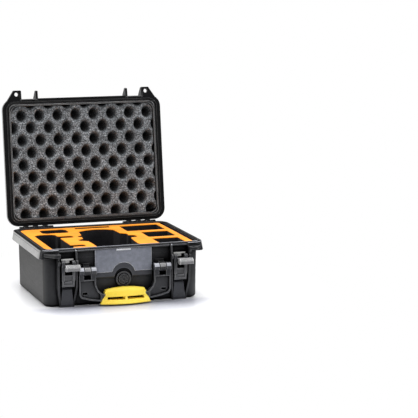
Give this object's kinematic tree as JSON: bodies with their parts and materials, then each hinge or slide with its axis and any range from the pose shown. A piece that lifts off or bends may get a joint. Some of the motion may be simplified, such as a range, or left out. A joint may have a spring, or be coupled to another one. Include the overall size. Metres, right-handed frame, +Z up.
{
  "type": "hard carrying case",
  "caption": "Hinged waterproof hard case with a lift handle, draw latches, egg-crate lid foam and a cut-foam inlay for a folding camera drone kit.",
  "frame": {"origin": "centre of the base's footprint, on the floor it stands on", "axes": "+X to the case's right seen from the handle side, +Y towards the hinges, +Z up"},
  "size_m": [0.3152, 0.3637, 0.366],
  "materials": {
    "shell_resin": "fine textured black copolymer",
    "latch_resin": "satin black glass-filled resin",
    "panel_resin": "smooth satin grey",
    "pale_inlay": "satin pale grey",
    "membrane": "breathable white film",
    "seal_rubber": "matt black elastomer",
    "black_foam": "fine closed-cell foam",
    "amber_foam": "fine closed-cell amber foam",
    "grey_foam": "open-cell egg-crate foam",
    "yellow_grip": "satin soft-touch yellow",
    "steel_pin": "plain turned pin"
  },
  "bodies": {
    "base": {"base_shell": "shell_resin", "foam_core": "black_foam", "foam_top_sheet": "amber_foam", "name_panel": "panel_resin", "badge_bar": "pale_inlay", "valve_body": "shell_resin", "valve_cap": "shell_resin", "valve_membrane": "membrane", "valve_seal": "seal_rubber", "valve_nut": "shell_resin", "left_handle_pin": "steel_pin", "right_handle_pin": "steel_pin", "left_lever_pins": "steel_pin", "right_lever_pins": "steel_pin", "left_hinge_pin": "steel_pin", "right_hinge_pin": "steel_pin"},
    "lid": {"lid_shell": "shell_resin", "lid_seal": "seal_rubber", "lid_foam": "grey_foam", "left_catch_bar": "steel_pin", "right_catch_bar": "steel_pin"},
    "handle": {"handle_frame": "latch_resin", "handle_grip": "yellow_grip"},
    "left_lever": {"left_latch_lever": "latch_resin", "left_claw_pin": "steel_pin"},
    "right_lever": {"right_latch_lever": "latch_resin", "right_claw_pin": "steel_pin"},
    "left_claw": {"left_latch_claw": "latch_resin"},
    "right_claw": {"right_latch_claw": "latch_resin"}
  },
  "joints": [
    {"name": "lid_hinge", "type": "hinge", "parent": "base", "child": "lid", "pos_m": [0, 0.1265, 0.1045], "axis": [1, 0, 0], "range_deg": [0, 98]},
    {"name": "handle_hinge", "type": "hinge", "parent": "base", "child": "handle", "pos_m": [0, -0.123, 0.065], "axis": [-1, 0, 0], "range_deg": [0, 110]},
    {"name": "left_lever_hinge", "type": "hinge", "parent": "base", "child": "left_lever", "pos_m": [-0.1055, -0.1245, 0.0825], "axis": [-1, 0, 0], "range_deg": [0, 75]},
    {"name": "left_claw_hinge", "type": "hinge", "parent": "left_lever", "child": "left_claw", "pos_m": [-0.1055, -0.1225, 0.075], "axis": [1, 0, 0], "range_deg": [-83, 0]},
    {"name": "right_lever_hinge", "type": "hinge", "parent": "base", "child": "right_lever", "pos_m": [0.1055, -0.1245, 0.0825], "axis": [-1, 0, 0], "range_deg": [0, 75]},
    {"name": "right_claw_hinge", "type": "hinge", "parent": "right_lever", "child": "right_claw", "pos_m": [0.1055, -0.1225, 0.075], "axis": [1, 0, 0], "range_deg": [-83, 0]}
  ]
}
